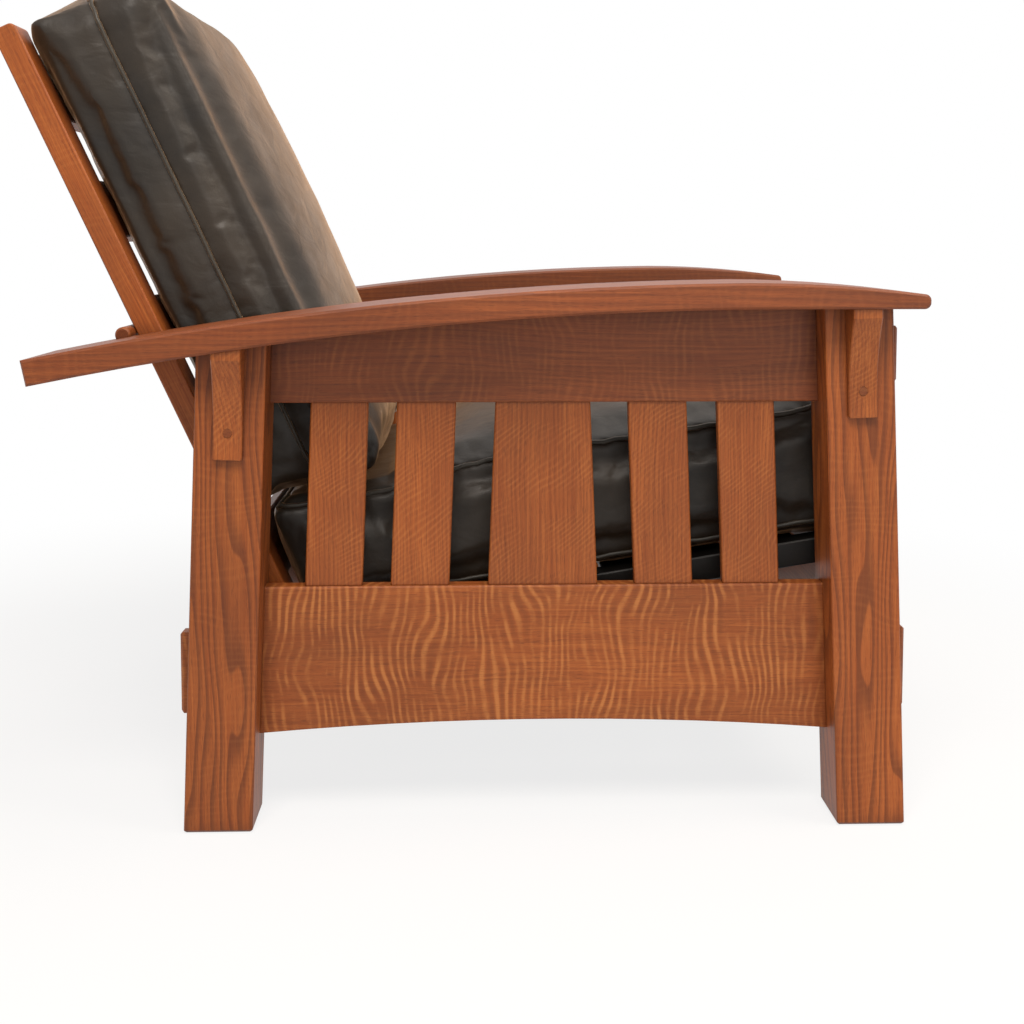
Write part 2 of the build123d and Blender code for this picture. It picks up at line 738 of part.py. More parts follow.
def pin_rod(gap):
    """The left pivot pin, or with a gap the hole in the rear post that holds it."""
    inner = STILE_OUT - PIN_IN_STILE
    outer = POST_IN + PIN_IN_POST + gap
    rod = Cylinder(PIN_RADIUS + gap, outer - inner, rotation=(0, 90, 0))
    return Pos((inner + outer) / 2, -PIVOT_FORWARD, PIVOT_UP) * rod


def pivot_pin(sign):
    body = pin_rod(0)
    return mirrored(chamfer(body.edges().filter_by(GeomType.CIRCLE), BAR_END_EASE / 2), sign)


def pivot_collar(sign):
    """The turned collar that keeps the back in the middle, between the stile and the rear post."""
    inner = STILE_OUT + COLLAR_GAP
    collar = Cylinder(COLLAR_RADIUS, POST_IN - inner, rotation=(0, 90, 0))
    collar = chamfer(collar.edges().filter_by(GeomType.CIRCLE), EASE)
    collar = Pos((inner + POST_IN) / 2, -PIVOT_FORWARD, PIVOT_UP) * collar
    return mirrored(collar - pin_rod(FIT / 2), sign)


def support_bar():
    forward, up = bar_place(RECLINE)
    rod = Cylinder(BAR_RADIUS, 2 * (ARM_IN + BAR_INTO_ARM), rotation=(0, 90, 0))
    rod = chamfer(rod.edges().filter_by(GeomType.CIRCLE), BAR_END_EASE)
    return Pos(0, -forward, up) * rod


# How far a quarter round's middle lies from its corner, as a share of its radius
CORNER_SHARE = 1 - math.sqrt(0.5)

# Stations at a cushion's end: how far in, and how far its outline is drawn in there, as shares of the round
END_SHARES = [(0, 0.62), (0.3, 0.22), (1, 0)]
SEAT_SPAN_SHARES = [0.2, 0.28, 0.36, 0.5, 0.64, 0.78]
BACK_SPAN_SHARES = [0.12, 0.25, 0.38, 0.5, 0.64, 0.78]
LEAST_SWELL_SHARE = 0.04


def cushion_section(half, low, high, crown, draw, turn):
    """One closed outline across a cushion: flat under, rounded corners, drawn-in sides, crowned top."""
    near = turn * CORNER_SHARE
    middle = (low + high) / 2
    edges = [
        ThreePointArc((-half, low + turn), (-half + draw, middle), (-half, high - turn)),
        ThreePointArc((-half, high - turn), (-half + near, high - near), (-half + turn, high)),
        ThreePointArc((-half + turn, high), (0, high + crown), (half - turn, high)),
        ThreePointArc((half - turn, high), (half - near, high - near), (half, high - turn)),
        ThreePointArc((half, high - turn), (half - draw, middle), (half, low + turn)),
        ThreePointArc((half, low + turn), (half - near, low + near), (half - turn, low)),
        Line((half - turn, low), (-half + turn, low)),
        ThreePointArc((-half + turn, low), (-half + near, low + near), (-half, low + turn)),
    ]
    return make_face(Wire(edges))


def stations(length, turn, span_shares):
    """Places along a cushion, each with how far its outline is drawn in: both ends are rounded."""
    start = [(turn * place, turn * inset) for place, inset in END_SHARES]
    middle = [(length * share, 0) for share in span_shares]
    end = [(length - place, inset) for place, inset in reversed(start)]
    return start + middle + end


def swell(place, length):
    """How much of a cushion's crown stands at a place along it: none at the ends, all in the middle."""
    return max(math.sin(math.pi * place / length), LEAST_SWELL_SHARE)


def seat_local(forward, up):
    """A side-view point in the tilted seat's own directions: forward along it, and above it."""
    slope = math.radians(SEAT_SLOPE)
    rise = up - SEAT_UNDER
    above = rise * math.cos(slope) - forward * math.sin(slope)
    return forward * math.cos(slope) + rise * math.sin(slope), above


def seat_spot(forward, above):
    """The side-view point at a place in the tilted seat's own directions."""
    slope = math.radians(SEAT_SLOPE)
    side_forward = forward * math.cos(slope) - above * math.sin(slope)
    return side_forward, SEAT_UNDER + forward * math.sin(slope) + above * math.cos(slope)


def back_foot():
    """The back cushion's slanted foot, level with the seat when most upright: its height at the back's own
    plane, and how steeply it falls toward the front."""
    upright = math.radians(RECLINE - BACK_TRAVEL)
    fall = upright - math.radians(SEAT_SLOPE)
    forward, up = seat_spot(0, SEAT_REAR_THICK + CUSHION_GAP)
    out = (forward - PIVOT_FORWARD) * math.cos(upright) + (up - PIVOT_UP) * math.sin(upright)
    along = (up - PIVOT_UP) * math.cos(upright) - (forward - PIVOT_FORWARD) * math.sin(upright)
    return along + out * math.tan(fall), fall


def seat_rear(above):
    """How far forward the seat cushion's rear face is, clear of the back's foot and of its face."""
    out = STILE_THICK / 2 + CUSHION_GAP
    low = seat_local(*back_turned(out, -STILE_BELOW, RECLINE))
    high = seat_local(*back_turned(out, back_foot()[0], RECLINE - BACK_TRAVEL))
    share = (above - low[1]) / (high[1] - low[1])
    return low[0] + share * (high[0] - low[0])


def clear_of_back(forward):
    """None under the back cushion, rising to all of it where the seat is level."""
    along, fall = back_foot()
    toe = along - BACK_CUSHION_FRONT * math.tan(fall)
    front = seat_local(*back_turned(BACK_CUSHION_FRONT, toe, RECLINE - BACK_TRAVEL))[0] + TOE_ROOM
    share = min(max((forward - front) / (SEAT_FLAT_START - front), 0), 1)
    return share * share * (3 - 2 * share)


def seat_top(forward):
    """Height of the seat cushion's top edge: pressed down under the back cushion, then full."""
    pressed = SEAT_CUSHION_THICK - SEAT_REAR_THICK
    return SEAT_CUSHION_THICK - pressed * (1 - clear_of_back(forward))


def seat_cushion():
    rear = seat_rear(0)
    length = SEAT_FRONT - rear
    rear_rise = seat_rear(0) - seat_rear(SEAT_CUSHION_THICK)
    sections = []
    for place, inset in stations(length, SEAT_EDGE_ROUND, SEAT_SPAN_SHARES):
        forward = rear + place
        tilt = math.atan(rear_rise / SEAT_CUSHION_THICK) * max(1 - place / (SEAT_FLAT_START - rear), 0)
        half = SEAT_CUSHION_HALF - inset - SEAT_DRAW_IN * swell(place, length)
        crest = forward - SEAT_CUSHION_THICK * math.tan(tilt)
        top = seat_top(crest) - inset
        crown = SEAT_CROWN * swell(place, length) * clear_of_back(crest) + EASE
        outline = cushion_section(half, BODY_GAP + inset, top, crown, SEAT_DRAW_IN, SEAT_EDGE_ROUND)
        plane = Plane(origin=(0, -forward, 0), x_dir=(1, 0, 0), z_dir=(0, -math.cos(tilt), math.sin(tilt)))
        sections.append(plane * outline)
    return seat_place(loft(sections, ruled=True))


def back_cushion():
    along, fall = back_foot()
    length = BACK_CUSHION_TOP - along
    low = STILE_THICK / 2 + BODY_GAP
    sections = []
    for place, inset in stations(length, BACK_EDGE_ROUND, BACK_SPAN_SHARES):
        half = BACK_CUSHION_HALF - inset - BACK_DRAW_IN * swell(place, length)
        crown = BACK_CROWN * swell(place, length) + EASE
        outline = cushion_section(
            half, low + inset, BACK_CUSHION_FRONT - inset, crown, BACK_DRAW_IN, BACK_EDGE_ROUND
        )
        slant = fall * max(1 - place / BACK_FOOT_BLEND, 0)
        across = (0, math.sin(slant), -math.cos(slant))
        plane = Plane(origin=(0, 0, along + place), x_dir=(1, 0, 0), z_dir=across)
        sections.append(plane * outline)
    return back_place(loft(sections, ruled=True))


def gather():
    """Every piece by its node name."""
    pieces = {}
    for name, sign in SIDES.items():
        for place in ("front", "rear"):
            pieces[f"{place}_post_{name}"] = post(place, sign)
            pieces[f"{place}_corbel_{name}"] = corbel(place, sign)
        pieces[f"side_lower_rail_{name}"] = side_lower_rail(sign)
        pieces[f"side_upper_rail_{name}"] = side_upper_rail(sign)
        for index in range(len(SLAT_PLACES)):
            pieces[f"side_slat_{name}_{index + 1}"] = side_slat(index, sign)
        pieces[f"arm_{name}"] = arm(sign)
        pieces[f"seat_side_rail_{name}"] = seat_side_rail(sign)
        pieces[f"back_stile_{name}"] = stile(sign)
        pieces[f"pivot_pin_{name}"] = pivot_pin(sign)
        pieces[f"pivot_collar_{name}"] = pivot_collar(sign)
    plugs = [
        mirrored(corbel_seat(place) * plug_rod(place, 0, False), sign)
        for place in ("front", "rear") for sign in SIDES.values()
    ]
    pieces["corbel_plugs"] = Compound(plugs)
    pieces["front_rail"] = front_rail()
    pieces["rear_rail"] = rear_rail()
    pieces["seat_bearer"] = seat_bearer()
    rear, front = seat_bar_middles()
    pieces["seat_rear_bar"] = seat_bar(rear)
    pieces["seat_front_bar"] = seat_bar(front)
    pieces["seat_slats"] = seat_slats()
    pieces["seat_cushion"] = seat_cushion()
    pieces["back_cushion"] = back_cushion()
    for index, (low, high) in enumerate(ladder_heights()):
        pieces[f"back_slat_{index + 1}"] = ladder_rail(low, high)
    pieces["back_top_rail"] = top_rail()
    pieces["support_bar"] = support_bar()
    return pieces


PIECES = gather()
BOX = Compound([solid for shape in PIECES.values() for solid in shape.solids()]).bounding_box()
TO_MIDDLE = Pos(0, -(BOX.min.Y + BOX.max.Y) / 2, 0)
print("box", BOX.min, BOX.max)
print("pivot at", TO_MIDDLE.position.Y - PIVOT_FORWARD, PIVOT_UP)
os.makedirs("parts", exist_ok=True)
for node, shape in PIECES.items():
    export_step(TO_MIDDLE * shape, f"parts/{node}.step")
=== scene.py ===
"""Mission reclining armchair: stained oak frame, loose leather cushions, pale studio."""
import math
from functools import partial

import bmesh
import bpy
import numpy as np
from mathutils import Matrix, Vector, noise
from mathutils.bvhtree import BVHTree


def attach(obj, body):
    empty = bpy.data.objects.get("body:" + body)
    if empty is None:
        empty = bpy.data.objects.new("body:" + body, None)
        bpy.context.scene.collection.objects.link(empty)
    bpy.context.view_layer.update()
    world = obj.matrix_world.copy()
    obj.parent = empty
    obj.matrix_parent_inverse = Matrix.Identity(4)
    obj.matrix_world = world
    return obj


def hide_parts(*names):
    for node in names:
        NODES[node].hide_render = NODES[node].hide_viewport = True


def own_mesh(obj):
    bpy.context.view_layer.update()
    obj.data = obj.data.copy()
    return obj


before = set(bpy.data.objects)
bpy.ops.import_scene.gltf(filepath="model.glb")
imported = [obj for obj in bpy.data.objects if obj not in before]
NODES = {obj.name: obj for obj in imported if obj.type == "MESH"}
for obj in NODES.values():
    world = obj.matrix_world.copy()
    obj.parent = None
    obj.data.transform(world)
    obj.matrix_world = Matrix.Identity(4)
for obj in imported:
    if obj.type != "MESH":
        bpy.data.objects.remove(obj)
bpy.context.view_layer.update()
MM = 0.001

# The reclined back is measured from its pivot, the sloping seat from a place on top of the seat frame
PIVOT = Vector((0, 0.23482, 0.3036))
RECLINE = math.radians(24.7)
BACK_OUT = Vector((0, -math.cos(RECLINE), math.sin(RECLINE)))
BACK_UP = Vector((0, math.sin(RECLINE), math.cos(RECLINE)))
SEAT_BASE = Vector((0, 0.040772, 0.23305))
SEAT_SLOPE = math.radians(9.2)
SEAT_OUT = Vector((0, -math.cos(SEAT_SLOPE), math.sin(SEAT_SLOPE)))
SEAT_UP = Vector((0, math.sin(SEAT_SLOPE), math.cos(SEAT_SLOPE)))

# The cushions' covers, in mm: they start smaller by their slack, and the filling pushes them out
COVER_GRID = 6
SLACK = 4
FILLING_PUSH = 9
WRINKLE_HEIGHT = 1.4
WRINKLE_SIZES = (90, 50, 50)

# The filling in the cloth simulation: its pressure and its steps
FILLING_PRESSURE = 4
FILLING_STEPS = 20

# A seam is found from a loop that stands outside of the cushion, in mm
SEAM_CORNER = 34
SEAM_STEP = 14
SEAM_CLOSEST = 4
SEAT_LOOP = {"half_x": 312, "low": -165, "high": 562}
TOP_SEAM_HEIGHT = 190
PRESSED_SEAM_HEIGHT = 176
BACK_LOOP = {"half_x": 300, "low": 2, "high": 684}
BACK_MIDDLE = 99

# The seat cushion, in mm forward along its slope and above the seat frame
SEAT_LIFT = 0.3
SEAT_SIDE = 291
SEAT_SWELL = 20
SEAT_CROWN_HALF = 300
SEAT_CROWN_END = 560
SEAT_CROWN_FADE = 200
PRESSED_UPTO = -15
PRESSED_FADE = 130
PRESSED_HEIGHT = 149
PRESSED_RISE = 0.5
SEAT_TOP_FROM = 90
SEAT_TOP_FADE = 70

# The back cushion, in mm out of the back's front and up it
BACK_SIDE = 281
BACK_HALF = 284
BACK_REAR = 14.3
BACK_FOOT = 51.5
BACK_TOP = 690
FOOT_REACH = 210
FOOT_SAG = 14
SAG_REACH = 90
SAG_UPTO = 54
SAG_FADE = 22
REAR_ROUND = (44, 60)
FRONT_FROM = 80
FRONT_FADE = 110
CROWN_FROM = -20
CROWN_RISE = 90
CROWN_FALL = 110
BACK_FILL = 8
BACK_CROWN = 14
BACK_CROWN_HALF = 244
LIP_PLACE = 232
LIP_WIDTH = 24
LIP_DIP = 5
BACK_LAP = 6
LAP_PLACE = 40
LAP_WIDTH = 60

# How steeply the back cushion's foot falls to its front, as sewn and where it rests on the seat
FOOT_FALL = math.radians(7.5)
REST_FALL = math.radians(15.5)

# The grain's place from board to board and its drift, in mm through a board, across it and along it
MM_PER_M = (1000, 1000, 1000)
BOARDS_APART = (1370, 2930, 7150)
DRIFT_SIZES = (90, 90, 420)
DRIFT_REACH = (30, 30, 10)

# The ray figure: how many ribbons it sways by, and a ribbon straight across the grain
SWAY = 6.0
NO_LEAN = 0.0

# Stains, from the deepest to the palest fleck
OAK_STAIN = ("#4E210B", "#93491B", "#B4662E", "#C98346")
# A darker copy of the oak stain: painted shade for the upper rails, which lie under the arms' overhang, and
# for the arms
PAINTED_SHADE_STAIN = ("#3D1A0B", "#7C3C1A", "#975228", "#AC6A38")
# The seat frame's dark stain, made near black so that it also paints the deep shade under the seat cushion
NEAR_BLACK_STAIN_AND_SHADE = ("#040302", "#090705", "#0E0A07", "#140F0A")


def srgb(code):
    """A hex colour as Blender's linear colour."""
    parts = [int(code[i:i + 2], 16) / 255 for i in (1, 3, 5)]
    return [p / 12.92 if p <= 0.04045 else ((p + 0.055) / 1.055) ** 2.4 for p in parts] + [1]


def add(tree, kind, inputs=None, out=0, **settings):
    """Adds a node with its settings and gives one of its outputs; inputs are values or other outputs.
    A socket goes by its name, or by its number where several have the same name."""
    node = tree.nodes.new("ShaderNode" + kind)
    for name, value in settings.items():
        setattr(node, name, value)
    for name, value in (inputs or {}).items():
        if isinstance(value, bpy.types.NodeSocket):
            tree.links.new(value, node.inputs[name])
        else:
            node.inputs[name].default_value = value
    return node.outputs[out] if node.outputs else node


def empty_material(name):
    """A material without nodes."""
    material = bpy.data.materials.new(name)
    material.use_nodes = True
    material.node_tree.nodes.clear()
    return material, material.node_tree


def along_board(tree, order, tilt):
    """Millimetres through a board's thickness, across its face and along its grain, moved for each board.
    The grain drifts by a few millimetres on its way."""
    put = partial(add, tree)
    level = put("TexCoord", out="Object")
    turned = put("VectorRotate", {"Vector": level, "Angle": tilt}, rotation_type="X_AXIS")
    split = put("SeparateXYZ", {0: turned}).node.outputs
    lined = put("CombineXYZ", {i: split[axis] for i, axis in enumerate(order)})
    board = put("ObjectInfo", out="Random")
    moved = put("VectorMath", {0: board, 1: BOARDS_APART}, operation="MULTIPLY")
    place = put("VectorMath", {0: lined, 1: MM_PER_M, 2: moved}, operation="MULTIPLY_ADD")
    slow = put("VectorMath", {0: place, 1: [1 / size for size in DRIFT_SIZES]}, operation="MULTIPLY")
    drift = put("TexNoise", {"Vector": slow, "Scale": 1, "Detail": 2, "Roughness": 0.45}, "Color")
    return put("VectorMath", {0: drift, 1: DRIFT_REACH, 2: place}, operation="MULTIPLY_ADD")


def speckle(tree, place, sizes, detail=2.0, rough=0.5, warp=0.0):
    """Cloudy spots with these sizes in mm: through, across and along the board."""
    scaled = add(tree, "VectorMath", {0: place, 1: [1 / size for size in sizes]}, operation="MULTIPLY")
    return add(tree, "TexNoise", {
        "Vector": scaled, "Scale": 1.0, "Detail": detail, "Roughness": rough, "Distortion": warp,
    }, "Fac")


def laid_over(tree, colour, shade, field, low, high, most=1.0, least=0.0):
    """The colour with a shade over it: its least share where the field is low, its most where it is high."""
    share = add(tree, "MapRange", {
        "Value": field, "From Min": low, "From Max": high, "To Min": least, "To Max": most,
    })
    return add(tree, "Mix", {"Factor": share, "A": colour, "B": shade}, "Result", data_type="RGBA")


def ringed(tree, place, colour, dark, rings):
    """Growth rings, as contour lines of a slow field: straight on quartersawn faces, arched on plain ones.
    Rings are their spacing in mm, how many rings the figure wanders by, and how dark their lines are.
    Oak's rings are 1 to 3 mm apart; they are drawn farther apart so that they show."""
    put = partial(add, tree)
    spacing, wander, darkness = rings
    through, across, _ = put("SeparateXYZ", {0: place}).node.outputs
    slow = speckle(tree, place, (55, 46, 330), 1.0, 0.4)
    bend = put("Math", {0: slow, 1: wander * 2}, operation="MULTIPLY")
    ring = put("Math", {0: through, 1: 0.7 / spacing, 2: bend}, operation="MULTIPLY_ADD")
    ring = put("Math", {0: across, 1: 1 / spacing, 2: ring}, operation="MULTIPLY_ADD")
    ring = put("Math", {0: ring}, operation="FRACT")
    early = put("MapRange", {
        "Value": ring, "From Min": 0.3, "From Max": 0.92, "To Max": darkness,
    }, interpolation_type="SMOOTHSTEP")
    late = put("MapRange", {
        "Value": ring, "From Min": 1.0, "From Max": 0.93,
    }, interpolation_type="SMOOTHSTEP")
    line = put("Math", {0: early, 1: late}, operation="MULTIPLY")
    return put("Mix", {"Factor": line, "A": colour, "B": dark}, "Result", data_type="RGBA")


def rayed(tree, place, colour, pale, dark, ribbon):
    """Ray figure: long wavy ribbons across the grain that come and go, pale and dark in turn.
    A ribbon has its strength, its spacing in mm and how far it leans."""
    put = partial(add, tree)
    strength, spacing, lean = ribbon
    _, across, along = put("SeparateXYZ", {0: place}).node.outputs
    slow = speckle(tree, place, (60, 105, 74), 1.0, 0.3)
    sway = put("Math", {0: slow, 1: SWAY}, operation="MULTIPLY")
    wave = put("Math", {0: across, 1: lean / spacing, 2: sway}, operation="MULTIPLY_ADD")
    wave = put("Math", {0: along, 1: 1 / spacing, 2: wave}, operation="MULTIPLY_ADD")
    turn = put("Math", {0: wave, 1: math.tau}, operation="MULTIPLY")
    swing = put("Math", {0: turn}, operation="SINE")
    patch = speckle(tree, place, (40, 52, 26), 3.0, 0.6)
    zone = put("MapRange", {"Value": patch, "From Min": 0.38, "From Max": 0.66, "To Max": strength})
    swell = put("Math", {0: swing, 1: zone}, operation="MULTIPLY")
    colour = laid_over(tree, colour, pale, swell, 0.0, 0.8, 0.55)
    return laid_over(tree, colour, dark, swell, 0.0, -0.8, 0.28)


def taken_up(tree, colour, dark, end_axis, tilt):
    """Each board takes the stain a little differently, and its end grain drinks more of it."""
    put = partial(add, tree)
    board = put("ObjectInfo", out="Random")
    strength = put("MapRange", {"Value": board, "To Min": 0.86, "To Max": 1.06})
    colour = put("VectorMath", {0: colour, "Scale": strength}, operation="SCALE")
    normal = put("TexCoord", out="Normal")
    turned = put("VectorRotate", {"Vector": normal, "Angle": tilt}, rotation_type="X_AXIS")
    facing = put("Math", {0: put("SeparateXYZ", {0: turned}, end_axis)}, operation="ABSOLUTE")
    return laid_over(tree, colour, dark, facing, 0.72, 0.95, 0.5)


def worn_with_painted_light(tree, colour, light, dark, rounded):
    """Pale arrises, partly stain worn off and partly a painted highlight along the edges, and darker joints
    and recesses, partly pooled stain and partly painted shade.
    """
    put = partial(add, tree)
    flat = put("NewGeometry", out="Normal")
    edge = put("VectorMath", {0: rounded, 1: flat}, "Value", operation="DOT_PRODUCT")
    # The arrises are lightened: worn stain, and a painted highlight along the edges
    colour = laid_over(tree, colour, light, edge, 0.995, 0.9, 0.3)
    # Ambient occlusion darkens the joints and recesses: pooled stain, and painted shade
    nook_shade_and_pooling = put("AmbientOcclusion", {"Distance": 26 * MM}, "AO", samples=8)
    return laid_over(tree, colour, dark, nook_shade_and_pooling, 0.25, 0.9, most=0.0, least=0.65)


def stained_oak(name, order, tilt=0.0, rings=(4.6, 1.6, 0.2), ribbon=(0.3, 8.0, 0.5), palette=OAK_STAIN):
    """Quartersawn white oak, fumed and oiled to a red brown: fine straight grain, soft ribbons of ray figure
    across it, dark open pores, and end grain that drinks the stain. A thin satin lacquer lies over it."""
    material, tree = empty_material(name)
    put = partial(add, tree)
    deep, middle, light, fleck = [srgb(code) for code in palette]
    place = along_board(tree, order, tilt)
    fibre = speckle(tree, place, (1.6, 1.1, 60), 2.0, 0.6)
    # Oak's pores are about 0.3 mm wide; they are drawn at 0.8 mm so that they show
    pore = speckle(tree, place, (0.9, 0.7, 11), 1.0)

    # Long streaks of lighter and darker growth, broad clouds of stain, and fine fibres
    colour = laid_over(tree, middle, light, speckle(tree, place, (6, 2.6, 150), 3.0, 0.6), 0.28, 0.7)
    colour = laid_over(tree, colour, deep, speckle(tree, place, (60, 70, 240)), 0.35, 0.72, 0.42)
    colour = laid_over(tree, colour, middle, speckle(tree, place, (28, 24, 90)), 0.42, 0.68, 0.42)
    colour = laid_over(tree, colour, deep, fibre, 0.35, 0.7, 0.22)
    colour = ringed(tree, place, colour, deep, rings)
    colour = rayed(tree, place, colour, fleck, deep, ribbon)
    colour = laid_over(tree, colour, deep, pore, 0.58, 0.7, 0.4)
    colour = taken_up(tree, colour, deep, order[2], tilt)
    rounded = put("Bevel", {"Radius": 1.6 * MM}, samples=6)
    # Painted edge highlights and painted shade in the nooks, with the stain's wear and pooling
    colour = worn_with_painted_light(tree, colour, light, deep, rounded)

    sunk = put("MapRange", {"Value": pore, "From Min": 0.55, "From Max": 0.72, "To Max": -1.0})
    height = put("Math", {0: fibre, 1: 0.4, 2: sunk}, operation="MULTIPLY_ADD")
    bump = put("Bump", {"Strength": 0.22, "Distance": 0.25 * MM, "Height": height, "Normal": rounded})
    surface = put("BsdfPrincipled", {
        "Base Color": colour, "Normal": bump, "Roughness": 0.48, "IOR": 1.5, "Specular IOR Level": 0.3,
        "Coat Weight": 0.08, "Coat Roughness": 0.28,
    })
    put("OutputMaterial", {"Surface": surface})
    return material


def full_grain_leather(name, palette=("#110D09", "#211B13", "#3F3325")):
    """Full-grain upholstery leather, dyed near black and waxed: a fine pebble, soft wrinkles where it is
    pulled, and a dull wax sheen that turns warm and pale where it is seen edge on."""
    material, tree = empty_material(name)
    put = partial(add, tree)
    deep, middle, rubbed = [srgb(code) for code in palette]
    place = put("VectorMath", {0: put("TexCoord", out="Object"), 1: MM_PER_M}, operation="MULTIPLY")
    mottle = speckle(tree, place, (38, 38, 38), 3.0, 0.6)
    colour = laid_over(tree, deep, middle, mottle, 0.3, 0.72)
    colour = laid_over(tree, colour, rubbed, speckle(tree, place, (150, 150, 150)), 0.4, 0.75, 0.4)
    # Real pebbles are under 1 mm; they are drawn at 1.5 mm so that they show
    pebble = put("TexVoronoi", {"Vector": place, "Scale": 1 / 1.5}, "Distance", feature="DISTANCE_TO_EDGE")
    creases = speckle(tree, place, (9, 9, 9), 4.0, 0.62, 1.2)
    waves = speckle(tree, place, (42, 42, 26), 2.0, 0.5, 0.8)
    bump = put("Bump", {"Strength": 0.18, "Distance": 0.25 * MM, "Height": pebble})
    bump = put("Bump", {"Strength": 0.25, "Distance": 0.9 * MM, "Height": creases, "Normal": bump})
    bump = put("Bump", {"Strength": 0.3, "Distance": 4.0 * MM, "Height": waves, "Normal": bump})
    dull = put("MapRange", {"Value": mottle, "From Min": 0.3, "From Max": 0.7, "To Min": 0.52, "To Max": 0.4})
    surface = put("BsdfPrincipled", {
        "Base Color": colour, "Normal": bump, "Roughness": dull, "IOR": 1.5, "Specular IOR Level": 0.36,
        "Sheen Weight": 0.9, "Sheen Roughness": 0.36, "Sheen Tint": srgb("#D0A67E"),
    })
    put("OutputMaterial", {"Surface": surface})
    return material


def turned_steel(name):
    """Plain turned mild steel: fine rings left by the tool and a little dulling."""
    material, tree = empty_material(name)
    put = partial(add, tree)
    place = put("VectorMath", {0: put("TexCoord", out="Object"), 1: MM_PER_M}, operation="MULTIPLY")
    dull = speckle(tree, place, (6, 6, 6), 3.0)
    colour = laid_over(tree, srgb("#9A9894"), srgb("#6F6C67"), dull, 0.35, 0.7)
    # The tool's rings are about 0.1 mm apart; they are drawn at 0.4 mm so that they show
    rings = speckle(tree, place, (0.4, 30, 30), 1.0)
    rough = put("MapRange", {"Value": dull, "From Min": 0.3, "From Max": 0.7, "To Min": 0.28, "To Max": 0.5})
    bump = put("Bump", {"Strength": 0.2, "Distance": 0.1 * MM, "Height": rings})
    surface = put("BsdfPrincipled", {
        "Base Color": colour, "Metallic": 1.0, "Roughness": rough, "Normal": bump,
    })
    put("OutputMaterial", {"Surface": surface})
    return material


UPRIGHT = stained_oak(
    "oak upright", ("X", "Y", "Z"), rings=(4.6, 1.6, 0.26), ribbon=(0.27, 7.0, 0.8))
POSTS = stained_oak("oak post", ("X", "Y", "Z"), rings=(12.5, 3.4, 0.6), ribbon=(0.1, 9.0, NO_LEAN))
LOWER_RAILS = stained_oak(
    "oak lower rail", ("X", "Z", "Y"), rings=(7.0, 1.2, 0.1), ribbon=(1.0, 10.0, NO_LEAN))
# The upper rails and the arms take the darker copy of the stain, as painted shade
UPPER_RAILS = stained_oak(
    "oak upper rail", ("X", "Z", "Y"), rings=(7.0, 1.2, 0.25), ribbon=(0.35, 10.0, NO_LEAN),
    palette=PAINTED_SHADE_STAIN)
ARMS = stained_oak(
    "oak arm", ("X", "Z", "Y"), rings=(8.0, 1.5, 0.28), ribbon=(0.12, 11.0, NO_LEAN),
    palette=PAINTED_SHADE_STAIN)
CROSSWISE = stained_oak("oak crosswise", ("Y", "Z", "X"))
RECLINED = stained_oak("oak reclined", ("X", "Y", "Z"), tilt=RECLINE, ribbon=(0.12, 9.0, NO_LEAN))
RECLINED_ACROSS = stained_oak("oak reclined across", ("Y", "Z", "X"), tilt=RECLINE)
# The seat frame is drawn near black: a dark stain, and painted shade under the cushion
STAIN_AND_SHADE_LENGTHWISE = stained_oak("near black stain and painted shade lengthwise", ("Z", "X", "Y"), palette=NEAR_BLACK_STAIN_AND_SHADE)
STAIN_AND_SHADE_CROSSWISE = stained_oak("near black stain and painted shade crosswise", ("Z", "Y", "X"), palette=NEAR_BLACK_STAIN_AND_SHADE)
LEATHER = full_grain_leather("waxed full grain leather")
# The piping is the same leather drawn a little paler: a painted highlight along the cords
PIPING = full_grain_leather("leather piping", ("#1A1712", "#2E2A22", "#463E32"))
STEEL = turned_steel("turned steel")

FINISHES = (
    (POSTS, ("front_post", "rear_post")),
    (UPRIGHT, ("side_slat", "front_corbel", "rear_corbel")),
    (LOWER_RAILS, ("side_lower_rail",)),
    (UPPER_RAILS, ("side_upper_rail",)),
    (ARMS, ("arm_",)),
    (CROSSWISE, ("corbel_plugs", "front_rail", "rear_rail", "seat_bearer", "support_bar", "pivot_collar")),
    (RECLINED, ("back_stile",)),
    (RECLINED_ACROSS, ("back_slat", "back_top_rail")),
    (STEEL, ("pivot_pin",)),
    (STAIN_AND_SHADE_LENGTHWISE, ("seat_side_rail",)),
    (STAIN_AND_SHADE_CROSSWISE, ("seat_rear_bar", "seat_front_bar", "seat_slats")),
)


def finish_wood():
    """Gives each carried-over piece its wood or steel."""
    for node, piece in NODES.items():
        for material, starts in FINISHES:
            if node.startswith(starts):
                piece.data.materials.clear()
                piece.data.materials.append(material)


def points_of(mesh):
    """The mesh's points, one row each."""
    flat = np.empty(len(mesh.vertices) * 3)
    mesh.vertices.foreach_get("co", flat)
    return flat.reshape(-1, 3)


def normals_of(mesh):
    """The way out of the mesh at each point."""
    flat = np.empty(len(mesh.vertices) * 3)
    mesh.vertices.foreach_get("normal", flat)
    return flat.reshape(-1, 3)


def set_points(mesh, points):
    """Moves the mesh's points to these places."""
    mesh.vertices.foreach_set("co", points.reshape(-1))
    mesh.update()


def settled(piece):
    """The piece's mesh with its modifiers applied."""
    depsgraph = bpy.context.evaluated_depsgraph_get()
    depsgraph.update()
    mesh = bpy.data.meshes.new_from_object(piece.evaluated_get(depsgraph))
    piece.modifiers.clear()
    piece.data = mesh
    return mesh


